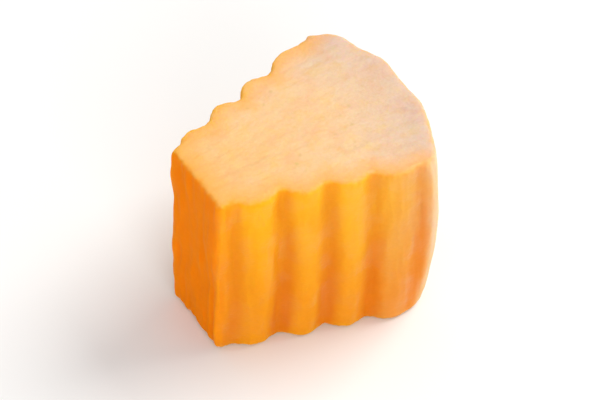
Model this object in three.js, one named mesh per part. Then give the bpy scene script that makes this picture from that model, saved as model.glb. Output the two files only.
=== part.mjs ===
// One piece of a peeled muskmelon, cut as a fan: two wavy cuts down its sides, a plain cross cut
// above and below, the seed side at its narrow end and the peeled rind side at its wide end.
// Millimetres. +Z is up, +X runs from the seed side to the rind side, and the origin lies under the
// middle of the piece, on the surface that it stands on.

import * as THREE from 'three';
import { mergeVertices } from 'three/addons/utils/BufferGeometryUtils.js';

// Driving dimensions of the piece
const LENGTH = 35.6; // seed side to the furthest peel stroke
const HEIGHT = 30; // between the two cross cuts
const SEED_WIDTH = 12.4; // across the narrow end
const SIDE_ANGLE = THREE.MathUtils.degToRad(17.3); // each wavy cut, away from the middle line
const PEEL_RADIUS = 24.4; // the curve that the peel strokes follow, seen from above
const MERIDIAN_RADIUS = 105; // the melon's curve from end to end
const WIDEST = 18; // height at which that curve bulges most

// The wavy cuts
const WAVE_PITCH = 6.8; // from ridge to ridge
const WAVE_DEPTH = 1.25; // from ridge to valley
const WAVE_FADE = 0.4; // share of the depth that is lost towards the rind
const WAVE_START = 5; // the waves rise from nothing over this much of the narrow end
const WAVE_LEAN = 0.03; // sideways run of a ridge for each millimetre up
const WAVE_BEND = 0.3; // how far a ridge bows from a straight line
const WAVE_STRAY = 0.5; // how far the ridges stray from an even spacing
const WAVE_UNEVEN = 0.14; // share by which ridges differ in depth
const FIRST_RIDGE = { left: 3.1, right: 5.8 }; // from the seed end, along each cut
const SIDE_LEAN = { left: -0.02, right: 0.018 }; // how far each cut leans in for each millimetre up

// The peel strokes, side by side round the wide end, and the trim of its two corners
const STROKES = 7;
const STROKE_TURN = THREE.MathUtils.degToRad(12.4); // from one stroke to the next
const STROKE_SWAY = THREE.MathUtils.degToRad(1.8); // how far a stroke strays from its turn
const STROKE_BITE = 0.15; // how much deeper or shallower a stroke runs
const STROKE_TILT = 0.012; // lean of a stroke for each millimetre up
const TRIM_TURN = THREE.MathUtils.degToRad(60);
const TRIM_REACH = 22.4; // from the centre of the peel curve

// The seed side and the upper cross cut
const SEED_HOLLOW = 0.45; // dip in the middle of the seed side
const SEED_LEAN = 0.02; // how far the seed side leans in for each millimetre up
const CROSS_SWAY = 0.16; // slow rise and fall of the knife across the upper cut
const CROSS_SLOPE = 0.012; // fall of the upper cut towards the seed side

// How sharply two cuts meet, in 1/mm: a higher number is a crisper edge
const STROKE_EDGE = 6;
const CORNER_EDGE = 2.6;
const RIM_EDGE = 2.8;

// Grid of the surface
const CELLS = { length: 72, width: 24, height: 12 };
const CROWDING = { length: 0.3, width: 0.45, height: 0.6 }; // pulls grid lines towards the edges
const SETTLING_STEPS = 10;
const PROBE = 1e-4; // step that measures how steep the surface is
const SOLE = 0.01; // what lies lower than this is level with the surface below

const SEED_HALF = SEED_WIDTH / 2;
const PEEL_CENTRE = LENGTH - PEEL_RADIUS;
const MIDDLE = HEIGHT / 2;

// Rounded joining of cuts: the deepest cut wins, and cuts that are nearly level share the edge
function meet(depths, sharpness) {
  const deepest = Math.max(...depths);
  const sum = depths.reduce((total, depth) => total + Math.exp(sharpness * (depth - deepest)), 0);
  return deepest + Math.log(sum) / sharpness;
}

// Broad ridges with narrower valleys between them, weaker at both ends of the cut
function ridge(along, z, first) {
  const drift = WAVE_LEAN * (z - MIDDLE) + WAVE_BEND * Math.sin(z / 7 + first);
  const stray = WAVE_STRAY * Math.sin(along / 4.3 + 2 * first);
  const turn = (2 * Math.PI * (along - first - drift - stray)) / WAVE_PITCH;
  const start = THREE.MathUtils.smoothstep(along, 0, WAVE_START);
  const end = 1 - WAVE_FADE * THREE.MathUtils.smoothstep(along, 0.45 * LENGTH, 0.9 * LENGTH);
  const uneven = 1 + WAVE_UNEVEN * Math.sin(along / 3.1 + 3 * first);
  return 0.5 * WAVE_DEPTH * start * end * uneven * (Math.cos(turn) - 0.15 * Math.cos(2 * turn));
}

// A wavy cut on the left (hand = 1) or right (hand = -1) of the middle line
function wavyCut(x, y, z, hand, first, lean) {
  const across = hand * y - SEED_HALF;
  const outwards = Math.cos(SIDE_ANGLE) * across - Math.sin(SIDE_ANGLE) * x;
  const along = Math.cos(SIDE_ANGLE) * x + Math.sin(SIDE_ANGLE) * across;
  return outwards + lean * (z - MIDDLE) - ridge(along, z, first);
}

// The wall of the seed cavity, slightly hollow
function seedSide(x, y, z) {
  return SEED_HOLLOW * (1 - (y / SEED_HALF) ** 2) + SEED_LEAN * (z - MIDDLE) - x;
}

// A flat stroke of the peeling knife, which follows the melon's curve from end to end
function stroke(x, y, z, turn, reach, tilt) {
  const curve = (z - WIDEST) ** 2 / (2 * MERIDIAN_RADIUS);
  const distance = Math.cos(turn) * (x - PEEL_CENTRE) + Math.sin(turn) * y;
  return distance - (reach + tilt * (z - MIDDLE) - curve);
}

// The strokes are never quite even in turn, depth and lean
function peelStroke(x, y, z, index) {
  const turn = STROKE_TURN * (index - (STROKES - 1) / 2) + STROKE_SWAY * Math.sin(2.3 * index);
  const reach = PEEL_RADIUS + STROKE_BITE * Math.sin(1.7 * index + 0.6);
  return stroke(x, y, z, turn, reach, STROKE_TILT * Math.sin(3.1 * index + 1.2));
}

// The trim that takes off the sharp corner at one end of the wide side
function cornerTrim(x, y, z, hand) {
  return stroke(x, y, z, hand * TRIM_TURN, TRIM_REACH, 0);
}

function upperCut(x, y, z) {
  const sway = CROSS_SWAY * Math.sin(x / 5.9 + y / 10.5);
  return z - (HEIGHT + sway + CROSS_SLOPE * (x - LENGTH));
}

// Below zero inside the piece, above zero outside it
function flesh(x, y, z) {
  const strokes = Array.from({ length: STROKES }, (_, index) => peelStroke(x, y, z, index));
  const round = meet([
    meet(strokes, STROKE_EDGE),
    wavyCut(x, y, z, 1, FIRST_RIDGE.left, SIDE_LEAN.left),
    wavyCut(x, y, z, -1, FIRST_RIDGE.right, SIDE_LEAN.right),
    cornerTrim(x, y, z, 1),
    cornerTrim(x, y, z, -1),
    seedSide(x, y, z),
  ], CORNER_EDGE);
  return meet([round, upperCut(x, y, z), -z], RIM_EDGE);
}

// Steepest way out of the flesh at a point
function slope(x, y, z) {
  return new THREE.Vector3(
    flesh(x + PROBE, y, z) - flesh(x - PROBE, y, z),
    flesh(x, y + PROBE, z) - flesh(x, y - PROBE, z),
    flesh(x, y, z + PROBE) - flesh(x, y, z - PROBE),
  ).divideScalar(2 * PROBE);
}

// Share from 0 to 1 with more of its steps near both ends
function crowd(share, pull) {
  return share - (pull * Math.sin(2 * Math.PI * share)) / (2 * Math.PI);
}

// From a point of a plain unit cube to a wavy fan with sharp edges, close to the piece
function fan(cube) {
  const radial = crowd(cube.x + 0.5, CROWDING.length);
  const side = 2 * crowd(cube.y + 0.5, CROWDING.width) - 1;
  const z = HEIGHT * crowd(cube.z + 0.5, CROWDING.height);
  const widening = side * Math.tan(SIDE_ANGLE);
  const start = side * SEED_HALF;
  const a = 1 + widening ** 2;
  const b = start * widening - PEEL_CENTRE;
  const c = start ** 2 + PEEL_CENTRE ** 2 - PEEL_RADIUS ** 2;
  const x = radial * ((Math.sqrt(b * b - a * c) - b) / a);
  const first = side > 0 ? FIRST_RIDGE.left : FIRST_RIDGE.right;
  const wave = (side * ridge(x / Math.cos(SIDE_ANGLE), z, first)) / Math.cos(SIDE_ANGLE);
  return new THREE.Vector3(x, start + widening * x + wave, z);
}

// Moves a point along the slope until it lies on the surface of the flesh
function settle(point) {
  for (let step = 0; step < SETTLING_STEPS; step += 1) {
    const steepest = slope(point.x, point.y, point.z);
    const depth = flesh(point.x, point.y, point.z);
    point.addScaledVector(steepest, -depth / steepest.lengthSq());
  }
  if (point.z < SOLE) point.z = 0;
  return point;
}

function pieceGeometry() {
  const cube = new THREE.BoxGeometry(1, 1, 1, CELLS.length, CELLS.width, CELLS.height);
  cube.deleteAttribute('normal');
  cube.deleteAttribute('uv');
  const geometry = mergeVertices(cube);
  const position = geometry.getAttribute('position');
  const point = new THREE.Vector3();
  for (let index = 0; index < position.count; index += 1) {
    const settled = settle(fan(point.fromBufferAttribute(position, index)));
    position.setXYZ(index, settled.x, settled.y, settled.z);
  }
  geometry.computeBoundingBox();
  const centre = geometry.boundingBox.getCenter(new THREE.Vector3());
  geometry.translate(-centre.x, -centre.y, -geometry.boundingBox.min.z);
  geometry.computeVertexNormals();
  return geometry;
}

// Ripe orange flesh, moist and soft
const fleshMaterial = new THREE.MeshStandardMaterial({ color: '#fdb663', roughness: 0.45, metalness: 0 });

const piece = new THREE.Mesh(pieceGeometry(), fleshMaterial);
piece.name = 'muskmelon_piece';

const muskmelon = new THREE.Group();
muskmelon.add(piece);

export default muskmelon;
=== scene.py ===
import math

import bmesh
import bpy
import numpy as np
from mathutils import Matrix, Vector, noise


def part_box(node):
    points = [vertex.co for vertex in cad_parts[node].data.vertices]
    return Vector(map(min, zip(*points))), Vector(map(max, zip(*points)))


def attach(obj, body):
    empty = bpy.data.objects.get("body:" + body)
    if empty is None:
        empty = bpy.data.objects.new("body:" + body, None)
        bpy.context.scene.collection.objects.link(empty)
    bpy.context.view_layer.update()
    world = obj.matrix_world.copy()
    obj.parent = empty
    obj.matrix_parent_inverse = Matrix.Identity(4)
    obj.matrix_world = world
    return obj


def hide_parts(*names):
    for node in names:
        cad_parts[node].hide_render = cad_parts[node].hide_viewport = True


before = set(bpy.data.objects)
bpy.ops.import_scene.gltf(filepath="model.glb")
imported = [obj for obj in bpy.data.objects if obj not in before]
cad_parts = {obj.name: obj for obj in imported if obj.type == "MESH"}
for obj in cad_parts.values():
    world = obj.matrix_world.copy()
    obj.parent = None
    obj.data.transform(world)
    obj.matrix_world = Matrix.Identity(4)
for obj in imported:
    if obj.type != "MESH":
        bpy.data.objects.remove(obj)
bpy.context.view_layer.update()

# Muskmelon piece: the cuts
# A fan of ripe melon flesh, in millimetres here. A wavy blade cut its two long sides, a plain knife
# the faces above and below and the flat strokes round the rind side, and a spoon the seed side.
LENGTH = 35.6  # seed side to the furthest peel stroke
HEIGHT = 30.0  # between the two cross cuts
SEED_HALF = 6.2  # half the width of the narrow end
SIDE_ANGLE = math.radians(17.3)  # each wavy cut, away from the middle line
PEEL_RADIUS = 24.4  # the curve that the peel strokes follow, seen from above
PEEL_CENTRE = LENGTH - PEEL_RADIUS
MERIDIAN_RADIUS = 105.0  # the melon's curve from end to end
WIDEST = 18.0  # height at which that curve bulges most
MIDDLE = HEIGHT / 2

WAVE_PITCH = 6.8  # from ridge to ridge
WAVE_DEPTH = 1.25  # from ridge to valley
WAVE_BREADTH = 0.15  # makes the ridges broader than the valleys
WAVE_START = 5.0  # the waves rise from nothing over this much of the narrow end
WAVE_FADE = 0.4  # share of the depth that is lost towards the rind
FADE_FROM = 0.45 * LENGTH
FADE_TO = 0.9 * LENGTH
WAVE_LEAN = 0.03  # sideways run of a ridge for each millimetre up
WAVE_BEND = 0.3  # how far a ridge bows from a straight line
WAVE_STRAY = 0.5  # how far the ridges stray from an even spacing
WAVE_UNEVEN = 0.14  # share by which ridges differ in depth
BEND_RUN = 7.0  # the bow, the stray and the unevenness swing slowly, one radian in this distance
STRAY_RUN = 4.3
UNEVEN_RUN = 3.1
LEFT_RIDGE = 3.1  # first ridge, from the seed end
RIGHT_RIDGE = 5.8
LEFT_LEAN = -0.02  # how far each cut leans in for each millimetre up
RIGHT_LEAN = 0.018

STROKES = 7
STROKE_TURN = math.radians(12.4)  # from one peel stroke to the next
STROKE_SWAY = math.radians(1.8)  # how far a stroke strays from its turn
STROKE_BITE = 0.15  # how much deeper or shallower a stroke runs
STROKE_TILT = 0.012  # lean of a stroke for each millimetre up
TRIM_TURN = math.radians(60)  # the trim that takes off each sharp corner of the wide side
TRIM_REACH = 22.4

SEED_HOLLOW = 0.45  # dip in the middle of the seed side
SEED_LEAN = 0.02
CROSS_SWAY = 0.16  # slow rise and fall of the knife across the upper cut
SWAY_RUN = (5.9, 10.5)  # one radian of it, along and across
CROSS_SLOPE = 0.012  # fall of the upper cut towards the seed side

STROKE_EDGE = 6.0  # how sharply two cuts meet, in 1/mm: a higher number is a crisper edge
CORNER_EDGE = 2.6
RIM_EDGE = 2.8

# No two peel strokes are alike in their turn, bite and tilt
counts = np.arange(STROKES)
stroke_turns = STROKE_TURN * (counts - (STROKES - 1) / 2) + STROKE_SWAY * np.sin(2.3 * counts)
stroke_bites = np.sin(1.7 * counts + 0.6)
stroke_tilts = STROKE_TILT * np.sin(3.1 * counts + 1.2)


def meet(depths, sharpness):
    """Rounded joining of cuts: the deepest wins. Also gives each cut's share of every point."""
    depths = np.stack(depths)
    deepest = depths.max(axis=0)
    weights = np.exp(sharpness * (depths - deepest))
    total = weights.sum(axis=0)
    return deepest + np.log(total) / sharpness, weights / total


def smooth_share(value, low, high):
    """Zero up to the low value, one from the high value on, and a smooth rise between them."""
    share = np.clip((value - low) / (high - low), 0, 1)
    return share * share * (3 - 2 * share)


def ridge(along, z, first):
    """Broad ridges with narrower valleys between them, weaker at both ends of the cut."""
    drift = WAVE_LEAN * (z - MIDDLE) + WAVE_BEND * np.sin(z / BEND_RUN + first)
    stray = WAVE_STRAY * np.sin(along / STRAY_RUN + 2 * first)
    turn = 2 * np.pi * (along - first - drift - stray) / WAVE_PITCH
    start = smooth_share(along, 0, WAVE_START)
    end = 1 - WAVE_FADE * smooth_share(along, FADE_FROM, FADE_TO)
    uneven = 1 + WAVE_UNEVEN * np.sin(along / UNEVEN_RUN + 3 * first)
    profile = np.cos(turn) - WAVE_BREADTH * np.cos(2 * turn)
    return 0.5 * WAVE_DEPTH * start * end * uneven * profile


def side_lines(x, y, hand):
    """Distance out from the left (hand 1) or right (hand -1) wavy cut, and the way along it."""
    across = hand * y - SEED_HALF
    outwards = math.cos(SIDE_ANGLE) * across - math.sin(SIDE_ANGLE) * x
    along = math.cos(SIDE_ANGLE) * x + math.sin(SIDE_ANGLE) * across
    return outwards, along


def wavy_cut(x, y, z, hand, first, lean):
    outwards, along = side_lines(x, y, hand)
    return outwards + lean * (z - MIDDLE) - ridge(along, z, first)


def stroke(x, y, z, turn, reach, tilt):
    """A flat stroke of the peeling knife, which follows the melon's curve from end to end."""
    curve = (z - WIDEST) ** 2 / (2 * MERIDIAN_RADIUS)
    distance = math.cos(turn) * (x - PEEL_CENTRE) + math.sin(turn) * y
    return distance - (reach + tilt * (z - MIDDLE) - curve)


def peel(x, y, z, sharpness=STROKE_EDGE):
    """Depth under the peel strokes, and each stroke's share."""
    strokes = []
    for turn, bite, tilt in zip(stroke_turns, stroke_bites, stroke_tilts):
        strokes.append(stroke(x, y, z, turn, PEEL_RADIUS + STROKE_BITE * bite, tilt))
    return meet(strokes, sharpness)


def seed_hollow(share, z):
    """How deep the seed side dips and leans in, by the share of the way from its middle line."""
    return SEED_HOLLOW * (1 - share**2) + SEED_LEAN * (z - MIDDLE)


def upper_cut(x, y, z):
    sway = CROSS_SWAY * np.sin(x / SWAY_RUN[0] + y / SWAY_RUN[1])
    return z - (HEIGHT + sway + CROSS_SLOPE * (x - LENGTH))


NO_RELIEF = {"rind": 0, "wavy": 0, "seed": 0, "cross": 0}


def flesh(points, relief=NO_RELIEF):
    """Below zero inside the piece and above zero outside it, with each cut's share of a point.
    Relief is how much more flesh each kind of cut took away."""
    x, y, z = points.T
    trims = [stroke(x, y, z, hand * TRIM_TURN, TRIM_REACH, 0) + relief["rind"] for hand in (1, -1)]
    peeled = peel(x, y, z)[0] + relief["rind"]
    left = wavy_cut(x, y, z, 1, LEFT_RIDGE, LEFT_LEAN) + relief["wavy"]
    right = wavy_cut(x, y, z, -1, RIGHT_RIDGE, RIGHT_LEAN) + relief["wavy"]
    seed_side = seed_hollow(y / SEED_HALF, z) - x + relief["seed"]
    around, walls = meet([peeled, *trims, left, right, seed_side], CORNER_EDGE)
    upper = upper_cut(x, y, z) + relief["cross"]
    depth, faces = meet([around, upper, relief["cross"] - z], RIM_EDGE)
    shares = {
        "rind": faces[0] * walls[:3].sum(axis=0),
        "wavy": faces[0] * walls[3:5].sum(axis=0),
        "seed": faces[0] * walls[5],
        "cross": faces[1] + faces[2],
        "from_side": -np.maximum(np.maximum(left, right), seed_side),
    }
    return depth, shares


PROBE = 1e-4  # step that measures how steep the surface is


def settle(points, steps, relief=NO_RELIEF):
    """Moves every point along the slope until it lies on the surface of the flesh."""
    for _ in range(steps):
        slope = []
        for probe in np.eye(3) * PROBE:
            rise = flesh(points + probe, relief)[0] - flesh(points - probe, relief)[0]
            slope.append(rise / (2 * PROBE))
        slope = np.stack(slope, axis=1)
        depth = flesh(points, relief)[0]
        points = points - slope * (depth / (slope**2).sum(axis=1))[:, None]
    return points


# Muskmelon piece: the mesh
# The flesh is one solid with no skin. A cube of fine squares is drawn out to the fan's sharp block,
# and each point then settles on the rounded, wavy surface that the cuts leave.
DIVISIONS = 127  # cuts across each side of the cube: just under 200,000 triangles in all
CROWDING = (0.35, 0.45, 0.4)  # pulls grid lines towards the edges, along, across and up
SETTLING_STEPS = 8
EVENING_ROUNDS = 14
LAST_STEPS = 3

shape = bmesh.new()
bmesh.ops.create_cube(shape, size=1)
bmesh.ops.subdivide_edges(shape, edges=shape.edges[:], cuts=DIVISIONS, use_grid_fill=True)
piece_mesh = bpy.data.meshes.new("melon_piece")
shape.to_mesh(piece_mesh)
shape.free()

cube = np.empty(3 * len(piece_mesh.vertices))
piece_mesh.vertices.foreach_get("co", cube)
cube = cube.reshape(-1, 3) + 0.5
crowded = cube - np.array(CROWDING) * np.sin(2 * np.pi * cube) / (2 * np.pi)
side = 2 * crowded[:, 1] - 1
block_z = HEIGHT * crowded[:, 2]

# Each line along the fan ends where it meets the peel curve, which is a root of a quadratic
widening = side * math.tan(SIDE_ANGLE)
half_b = side * SEED_HALF * widening - PEEL_CENTRE
constant = (side * SEED_HALF) ** 2 + PEEL_CENTRE**2 - PEEL_RADIUS**2
square = 1 + widening**2
rim_x = (np.sqrt(half_b**2 - square * constant) - half_b) / square
start_x = seed_hollow(side, block_z)
block_x = start_x + crowded[:, 0] * (rim_x - start_x)
first_ridge = np.where(side > 0, LEFT_RIDGE, RIGHT_RIDGE)
wave = side * ridge(block_x / math.cos(SIDE_ANGLE), block_z, first_ridge) / math.cos(SIDE_ANGLE)
points = np.stack([block_x, side * SEED_HALF + widening * block_x + wave, block_z], axis=1)

ends = np.empty(2 * len(piece_mesh.edges), dtype=np.int32)
piece_mesh.edges.foreach_get("vertices", ends)
ends = ends.reshape(-1, 2)
heads = ends.ravel()
tails = ends[:, ::-1].ravel()
neighbours = np.bincount(heads)


def even_out(points, rounds, relief=NO_RELIEF):
    """Slides the points along the surface until none are bunched up or folded over."""
    for _ in range(rounds):
        sums = [np.bincount(heads, weights=points[tails, axis]) for axis in range(3)]
        points = settle((points + np.stack(sums, axis=1) / neighbours[:, None]) / 2, 1, relief)
    return settle(points, LAST_STEPS, relief)


points = even_out(settle(points, SETTLING_STEPS), EVENING_ROUNDS)
fan_middle = (points.min(axis=0) + points.max(axis=0)) / 2

# Muskmelon piece: the fine relief
# The knife drags lines across cut flesh, the bundles of vessels end in shallow dimples, the seed
# side is stringy from bottom to top, and a wavy blade leaves a soft torn grain.
APEX = SEED_HALF / math.tan(SIDE_ANGLE)  # the two wavy cuts would meet this far past the seed end
BEARING_RADIUS = 40.0  # turns a bearing seen from there into millimetres
DIMPLE_DEPTH = 0.08
DIMPLE_PITCH = 2.6
DIMPLE_REACH = 0.8  # from the middle of a dimple to its edge
VESSEL_STRETCH = (0.8, 1.0, 0.3)  # the vessels run outwards and upwards
SOFT_CREST = 3.0  # how sharply one peel stroke gives way to the next, in 1/mm
STROKE_HOLLOW = 0.3  # the middle of a stroke lies this much below the crests beside it

# Soft humps: their height, their pitch along the piece, across it and up, and a shift of the
# pattern that keeps two of them apart
HUMPS = {
    "fine": (0.07, (2.1, 2.1, 2.1), 11.0),
    "broad": (0.14, (5.5, 5.5, 5.5), 19.0),
    "drag": (0.08, (9.0, 0.9, 9.0), 0.0),
    "tear": (0.16, (0.9, 0.9, 4.5), 31.0),
    "fine_tear": (0.1, (0.5, 0.5, 6.0), 0.0),
    "chatter": (0.1, (2.6, 2.6, 1.6), 57.0),
    "string": (0.3, (1.2, 1.1, 7.0), 0.0),
    "strand": (0.25, (3.5, 3.0, 4.5), 0.0),
    "scrape": (0.12, (1.0, 1.0, 12.0), 83.0),
}
MEAN_RELIEF = {"cross": 0.1, "wavy": 0.16, "seed": 0.26, "rind": 0.06}


def roughen(places, pitch):
    """Soft noise from -1 to 1, with a hump about every pitch, given for the three directions."""
    scaled = places / np.array(pitch)
    return np.array([noise.noise(Vector(place)) for place in scaled])


def dimples(places, pitch, reach):
    """One at the middle of each dimple, zero between them."""
    scaled = places / pitch
    nearest = np.array([noise.voronoi(Vector(place))[0][0] for place in scaled])
    return np.clip(1 - nearest * pitch / reach, 0, 1) ** 2


# The grain of the flesh follows the fan: the way out from its apex, round it, and up
from_apex = np.hypot(points[:, 0] + APEX, points[:, 1])
bearing = np.arctan2(points[:, 1], points[:, 0] + APEX)
grain = np.stack([from_apex, bearing * BEARING_RADIUS, points[:, 2]], axis=1)
stroke_depth, stroke_shares = peel(*points.T, SOFT_CREST)
crest = 2 * (1 - (stroke_shares**2).sum(axis=0))

# Each kind of cut has its own relief, which only takes flesh away
hump = {name: height * roughen(points + shift, pitch)
        for name, (height, pitch, shift) in HUMPS.items()}
soft = hump["fine"] + hump["broad"]
pits = DIMPLE_DEPTH * dimples(grain * VESSEL_STRETCH, DIMPLE_PITCH, DIMPLE_REACH)
relief = {
    "cross": soft + hump["drag"] + pits,
    "wavy": soft + hump["tear"] + hump["fine_tear"] + hump["chatter"],
    "seed": soft + hump["string"] + hump["strand"],
    "rind": soft + hump["scrape"] + STROKE_HOLLOW * (1 - crest),
}
relief = {cut: np.maximum(MEAN_RELIEF[cut] + depth, 0) for cut, depth in relief.items()}
points = even_out(settle(points, SETTLING_STEPS, relief), EVENING_ROUNDS, relief)
shares = flesh(points, relief)[1]

low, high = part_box("muskmelon_piece")
MM = 0.001
place = np.array((low + high) / 2) - fan_middle * MM
place[2] = low.z
piece_mesh.vertices.foreach_set("co", (points * MM + place).ravel())
piece_mesh.shade_smooth()
melon_piece = bpy.data.objects.new("melon_piece", piece_mesh)
bpy.context.collection.objects.link(melon_piece)

# Muskmelon piece: where its flesh differs, and its painted shade
# The wavy cuts get painted shade, deeper orange, in their valleys and towards their foot, a stroke
# that bit deep shows riper flesh, and a film of juice lies in patches. Each is a mark on the points
# of the mesh.
VALLEY_SHADE = 0.5
FOOT_SHADE = 0.6
SHADE_REACH = 5.0  # how far the painted shade at the foot reaches higher in some places than in others
UNDER_PEEL = 1.5  # of flesh went with the rind
RIND_WANDER = 1.8  # the pale zone under the rind is thicker or thinner by this much
RIPER_BITE = 1.2  # the deepest stroke shows flesh from this much further in

valley = np.zeros(len(points))
for hand, first in ((1, LEFT_RIDGE), (-1, RIGHT_RIDGE)):
    along = side_lines(points[:, 0], points[:, 1], hand)[1]
    sunk = 0.5 - ridge(along, points[:, 2], first) / WAVE_DEPTH
    valley = np.where(hand * points[:, 1] > 0, sunk, valley)
# Painted shade: deeper orange in the valleys of the wavy cuts and towards their foot, with a ragged
# upper edge
foot_shade_wander = SHADE_REACH * roughen(points + 71.0, (1.8, 1.8, 9.0))
clear_of_foot_shade = smooth_share(points[:, 2] + foot_shade_wander, 0.1 * HEIGHT, 1.05 * HEIGHT)
painted_shade = VALLEY_SHADE * smooth_share(valley, 0.2, 1.1) + FOOT_SHADE * (1 - clear_of_foot_shade)
wander = RIND_WANDER * roughen(points, (7.0, 7.0, 7.0))
riper = RIPER_BITE * (stroke_bites @ stroke_shares) * shares["rind"]
patches = smooth_share(roughen(points + 97.0, (2.2, 2.2, 3.4)), -0.05, 0.2)

marks = {
    "cross": shares["cross"],
    "seed": shares["seed"],
    "from_side": shares["from_side"],
    "from_rind": UNDER_PEEL - stroke_depth + wander - riper,
    "crest": crest * shares["rind"],
    "painted_shade": painted_shade * shares["wavy"],
    "film": patches * (1 - shares["seed"]) * (1 - 0.7 * shares["rind"]),
    "fibrous": shares["seed"] + 0.8 * shares["rind"],
}
for name, values in marks.items():
    attribute = piece_mesh.attributes.new(name, "FLOAT", "POINT")
    attribute.data.foreach_set("value", np.ascontiguousarray(values, dtype=np.float32))
attribute = piece_mesh.attributes.new("grain", "FLOAT_VECTOR", "POINT")
attribute.data.foreach_set("vector", (grain * MM).astype(np.float32).ravel())


# Muskmelon piece: the finish
# Ripe flesh lets light in; near the side cuts the cross cuts get a painted orange glow for it. The
# cross cuts are painted a paler, mottled peach as painted light and sheen, the sides a deeper
# orange as painted shade, and within a few millimetres of the rind the flesh fades to a greyish
# cream.
def linear(code):
    """An sRGB hex colour as linear red, green, blue and alpha."""
    parts = [int(code[i : i + 2], 16) / 255 for i in (1, 3, 5)]
    return [c / 12.92 if c <= 0.04045 else ((c + 0.055) / 1.055) ** 2.4 for c in parts] + [1.0]


def add_node(tree, kind, settings, links):
    """Adds a node. Settings name its properties or inputs, and links feed its inputs."""
    node = tree.nodes.new(kind)
    for key, value in settings.items():
        if isinstance(key, str) and hasattr(node, key):
            setattr(node, key, value)
        else:
            node.inputs[key].default_value = value
    for key, output in links.items():
        tree.links.new(output, node.inputs[key])
    return node


flesh_finish = bpy.data.materials.new("ripe_muskmelon_flesh")
flesh_finish.use_nodes = True
tree = flesh_finish.node_tree
tree.nodes.clear()
mark = {}
for name in marks:
    reader = add_node(tree, "ShaderNodeAttribute", {"attribute_name": name}, {})
    mark[name] = reader.outputs["Fac"]
grain_reader = add_node(tree, "ShaderNodeAttribute", {"attribute_name": "grain"}, {})
along_grain = grain_reader.outputs["Vector"]
on_piece = add_node(tree, "ShaderNodeTexCoord", {}, {}).outputs["Object"]

# Soft patterns: for each its hump in millimetres, its detail, and the coordinates that it follows
PATTERNS = {
    "mottle": (2.3, 3.0, on_piece),
    "blush": (3.1, 2.0, along_grain),
    "speck_spread": (5.5, 2.0, on_piece),
    "edge_break": (1.3, 2.0, on_piece),
    "grit": (0.55, 2.0, on_piece),
    "wetness": (1.4, 3.0, on_piece),
}
pattern = {}
for name, (pitch, detail, follows) in PATTERNS.items():
    settings = {"Scale": 1 / (pitch * MM), "Detail": detail, "Roughness": 0.55}
    source = add_node(tree, "ShaderNodeTexNoise", settings, {"Vector": follows})
    pattern[name] = source.outputs["Fac"]

# The fibres are 0.9 millimetres apart across the grain, and much longer along it and up
FIBRE_STRETCH = (0.3, 1.0, 0.12)
fibre_map = add_node(tree, "ShaderNodeMapping", {"Scale": FIBRE_STRETCH}, {"Vector": along_grain})
fibre = add_node(tree, "ShaderNodeTexNoise", {"Scale": 1 / (0.9 * MM), "Detail": 3.0},
                 {"Vector": fibre_map.outputs["Vector"]})
pattern["fibre"] = fibre.outputs["Fac"]

# The ends of the vessels are small olive specks, and the cells are drawn at twice their real size,
# about 0.4 millimetres, so that they show
specks = add_node(tree, "ShaderNodeTexVoronoi", {"Scale": 1 / (1.7 * MM)}, {"Vector": on_piece})
cells = add_node(tree, "ShaderNodeTexVoronoi",
                 {"feature": "SMOOTH_F1", "Scale": 1 / (0.42 * MM), "Smoothness": 0.6},
                 {"Vector": on_piece})
pattern["speck"] = specks.outputs["Distance"]
pattern["cell"] = cells.outputs["Distance"]

# For each effect its mark or pattern, where that starts it and is full, and its two strengths
SPANS = {
    "depth": (mark["from_rind"], 0.0, 35.0, 0.0, 1.0),
    "yellowed": (pattern["mottle"], 0.48, 0.7, 0.0, 0.5),
    "blushed": (pattern["blush"], 0.5, 0.72, 0.0, 0.5),
    "speck_core": (pattern["speck"], 0.04, 0.24, 0.35, 0.0),
    "speck_patch": (pattern["speck_spread"], 0.5, 0.62, 0.0, 1.0),
    "speck_zone": (mark["from_rind"], 5.0, 10.0, 0.0, 1.0),
    # painted glow: the cross cuts turn orange within 4 mm of the side cuts, standing in for light
    # through the flesh
    "painted_edge_glow": (mark["from_side"], 0.0, 4.0, 0.8, 0.0),
    "gritty": (pattern["grit"], 0.35, 0.65, 0.0, 0.14),
    "streaked": (pattern["fibre"], 0.48, 0.7, 0.0, 0.45),
    # paler crests between peel strokes: partly the paler flesh where a stroke bit shallow, partly a
    # painted highlight on the ridges
    "pale_crest_highlight": (mark["crest"], 0.2, 1.0, 0.0, 0.6),
    "broken": (pattern["edge_break"], 0.3, 0.7, -0.15, 0.15),
    "faint_streaks": (pattern["fibre"], 0.52, 0.72, 0.0, 0.28),
    "roughness": (mark["film"], 0.0, 1.0, 0.58, 0.36),
    "coat": (mark["film"], 0.0, 1.0, 0.0, 0.3),
    "shine": (mark["fibrous"], 0.0, 1.0, 0.2, 0.03),
}
span = {}
for name, (value, start, full, least, most) in SPANS.items():
    settings = {"From Min": start, "From Max": full, "To Min": least, "To Max": most}
    span[name] = add_node(tree, "ShaderNodeMapRange", settings, {"Value": value}).outputs["Result"]

speck_here = add_node(tree, "ShaderNodeMath", {"operation": "MULTIPLY"},
                      {0: span["speck_core"], 1: span["speck_patch"]})
speck_share = add_node(tree, "ShaderNodeMath", {"operation": "MULTIPLY"},
                       {0: speck_here.outputs[0], 1: span["speck_zone"]})
ragged_cross = add_node(tree, "ShaderNodeMath", {"operation": "ADD"},
                        {0: mark["cross"], 1: span["broken"]})
cross_share = add_node(tree, "ShaderNodeMapRange",
                       {"interpolation_type": "SMOOTHSTEP", "From Min": 0.2, "From Max": 1.0},
                       {"Value": ragged_cross.outputs[0]})
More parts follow.
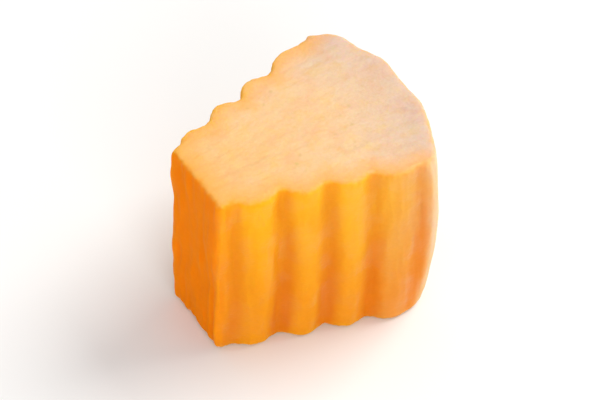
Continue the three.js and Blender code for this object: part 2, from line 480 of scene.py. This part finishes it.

# From the rind to the seeds: the cross cuts painted pale as painted light and sheen, and the sides
# painted a deeper orange as painted shade
LIT_PALE_STOPS = ((0.0, "#D2B7A4"), (0.1, "#DCC0AA"), (0.2, "#E4C4A6"), (0.34, "#ECC79C"),
              (0.7, "#EFC48B"), (1.0, "#F1BD77"))
SHADED_DEEP_STOPS = ((0.0, "#DEB690"), (0.06, "#E2AF72"), (0.15, "#E9AA50"), (0.3, "#F7B325"),
              (0.7, "#FBB210"), (1.0, "#F99A08"))
ramps = []
for stops in (LIT_PALE_STOPS, SHADED_DEEP_STOPS):
    ramp = add_node(tree, "ShaderNodeValToRGB", {}, {"Fac": span["depth"]})
    for _ in stops[2:]:
        ramp.color_ramp.elements.new(0.5)
    for element, (position, code) in zip(ramp.color_ramp.elements, stops):
        element.position = position
        element.color = linear(code)
    ramps.append(ramp.outputs["Color"])

# Layers of colour, each laid over the one before where its share says so
MIX_UNDER, MIX_OVER, MIX_RESULT = 6, 7, 2  # the colour sockets of a Mix node
LIT_PALE_LAYERS = (
    (span["yellowed"], "#FFF9D0", "MULTIPLY"),
    (span["blushed"], "#FFE9E4", "MULTIPLY"),
    (span["faint_streaks"], "#F8E6D0", "MULTIPLY"),
    (speck_share.outputs[0], "#C4A64C", "MIX"),
    # painted glow near the side cuts
    (span["painted_edge_glow"], "#F6AE46", "MIX"),
)
SHADED_DEEP_LAYERS = (
    (span["streaked"], "#FFF0B0", "MULTIPLY"),
    # painted shade in the valleys and at the foot of the wavy cuts
    (mark["painted_shade"], "#E27C04", "MIX"),
    (mark["seed"], "#FA8004", "MIX"),
    # crest lines: partly paler flesh, partly a painted highlight on the ridges
    (span["pale_crest_highlight"], "#EBCB9C", "MIX"),
)
layered = []
for colour, layers in zip(ramps, (LIT_PALE_LAYERS, SHADED_DEEP_LAYERS)):
    for share, code, blend in layers:
        mix = add_node(tree, "ShaderNodeMix",
                       {"data_type": "RGBA", "blend_type": blend, MIX_OVER: linear(code)},
                       {"Factor": share, MIX_UNDER: colour})
        colour = mix.outputs[MIX_RESULT]
    layered.append(colour)
lit_pale_flesh, shaded_deep_flesh = layered
# The cross cuts take the paler copy as painted light and sheen, the sides the deeper orange copy as
# painted shade
both = add_node(tree, "ShaderNodeMix", {"data_type": "RGBA"},
                {"Factor": cross_share.outputs[0], MIX_UNDER: shaded_deep_flesh, MIX_OVER: lit_pale_flesh})
gritty = add_node(tree, "ShaderNodeMix",
                  {"data_type": "RGBA", "blend_type": "MULTIPLY", MIX_OVER: linear("#E8DCC8")},
                  {"Factor": span["gritty"], MIX_UNDER: both.outputs[MIX_RESULT]})

# Relief too fine for the mesh, from the cells, the fibres and the film of juice: for each its
# strength and its depth in millimetres
BUMPS = {"cell": (0.35, 0.12), "fibre": (0.4, 0.15), "wetness": (0.3, 0.25)}
facing = {}
for name, (strength, depth) in BUMPS.items():
    bump = add_node(tree, "ShaderNodeBump", {"Strength": strength, "Distance": depth * MM},
                    {"Height": pattern[name], **facing})
    facing = {"Normal": bump.outputs["Normal"]}

# Red light goes furthest into the flesh, about two millimetres, and blue hardly enters it
flesh_shader = add_node(
    tree, "ShaderNodeBsdfPrincipled",
    {"IOR": 1.36, "Subsurface Weight": 0.6,
     "Subsurface Scale": 2.2 * MM, "Subsurface Radius": (1.0, 0.55, 0.16),
     "Coat Roughness": 0.16, "Coat IOR": 1.33},
    {"Base Color": gritty.outputs[MIX_RESULT], "Roughness": span["roughness"],
     "Coat Weight": span["coat"], "Specular IOR Level": span["shine"], **facing},
)
add_node(tree, "ShaderNodeOutputMaterial", {}, {"Surface": flesh_shader.outputs["BSDF"]})
piece_mesh.materials.append(flesh_finish)
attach(melon_piece, "root")
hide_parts("muskmelon_piece")

# Floor
# A plain sheet of matt white board that lies level under the piece. It is wide enough to fill
# every view.
FLOOR_SIZE = 4.0
floor_shape = bmesh.new()
bmesh.ops.create_grid(floor_shape, x_segments=1, y_segments=1, size=FLOOR_SIZE / 2)
floor_mesh = bpy.data.meshes.new("floor")
floor_shape.to_mesh(floor_mesh)
floor_shape.free()
floor = bpy.data.objects.new("floor", floor_mesh)
bpy.context.collection.objects.link(floor)
board = bpy.data.materials.new("matt_white_board")
board.use_nodes = True
board_shader = board.node_tree.nodes["Principled BSDF"]
board_shader.inputs["Base Color"].default_value = linear("#F4F3F1")
board_shader.inputs["Roughness"].default_value = 0.8
floor_mesh.materials.append(board)

# Light
# White surroundings, a large soft light high on the right and a little behind, and a weaker one
# low in front, as in a plain product studio.
VIEW_AZIMUTH = math.radians(-31.7)
VIEW_ELEVATION = math.radians(49.0)
right = Vector((math.cos(VIEW_AZIMUTH), math.sin(VIEW_AZIMUTH), 0))
away = Vector((-math.sin(VIEW_AZIMUTH), math.cos(VIEW_AZIMUTH), 0))
up = Vector((0, 0, 1))
target = Vector((0, 0, (low.z + high.z) / 2))


def soft_light(name, direction, distance, width, watts):
    """A square soft light that faces the piece."""
    lamp = bpy.data.lights.new(name, "AREA")
    lamp.size = width
    lamp.energy = watts
    holder = bpy.data.objects.new(name, lamp)
    holder.location = target + direction.normalized() * distance
    holder.rotation_euler = (-direction).to_track_quat("-Z", "Y").to_euler()
    bpy.context.collection.objects.link(holder)


soft_light("key_light", right * 0.75 + away * 0.45 + up, distance=0.9, width=0.5, watts=5.6)
soft_light("front_light", right * 0.25 - away + up * 0.45, distance=1.1, width=0.7, watts=4.4)
studio = bpy.data.worlds.new("studio")
studio.use_nodes = True
studio.node_tree.nodes["Background"].inputs["Color"].default_value = linear("#FFFFFF")
studio.node_tree.nodes["Background"].inputs["Strength"].default_value = 0.6
bpy.context.scene.world = studio
bpy.context.scene.view_settings.view_transform = "Standard"

# Camera
# It keeps the photograph's distance and direction from this piece, with a longer lens so that the
# piece fills the frame.
CAMERA_DISTANCE = 0.738
camera_data = bpy.data.cameras.new("camera")
camera_data.lens = 320.0
camera_data.sensor_width = 36.0
camera = bpy.data.objects.new("camera", camera_data)
back = (-away * math.cos(VIEW_ELEVATION) + up * math.sin(VIEW_ELEVATION)).normalized()
camera.location = target + back * CAMERA_DISTANCE
camera.rotation_euler = (-back).to_track_quat("-Z", "Y").to_euler()
bpy.context.collection.objects.link(camera)
bpy.context.scene.camera = camera
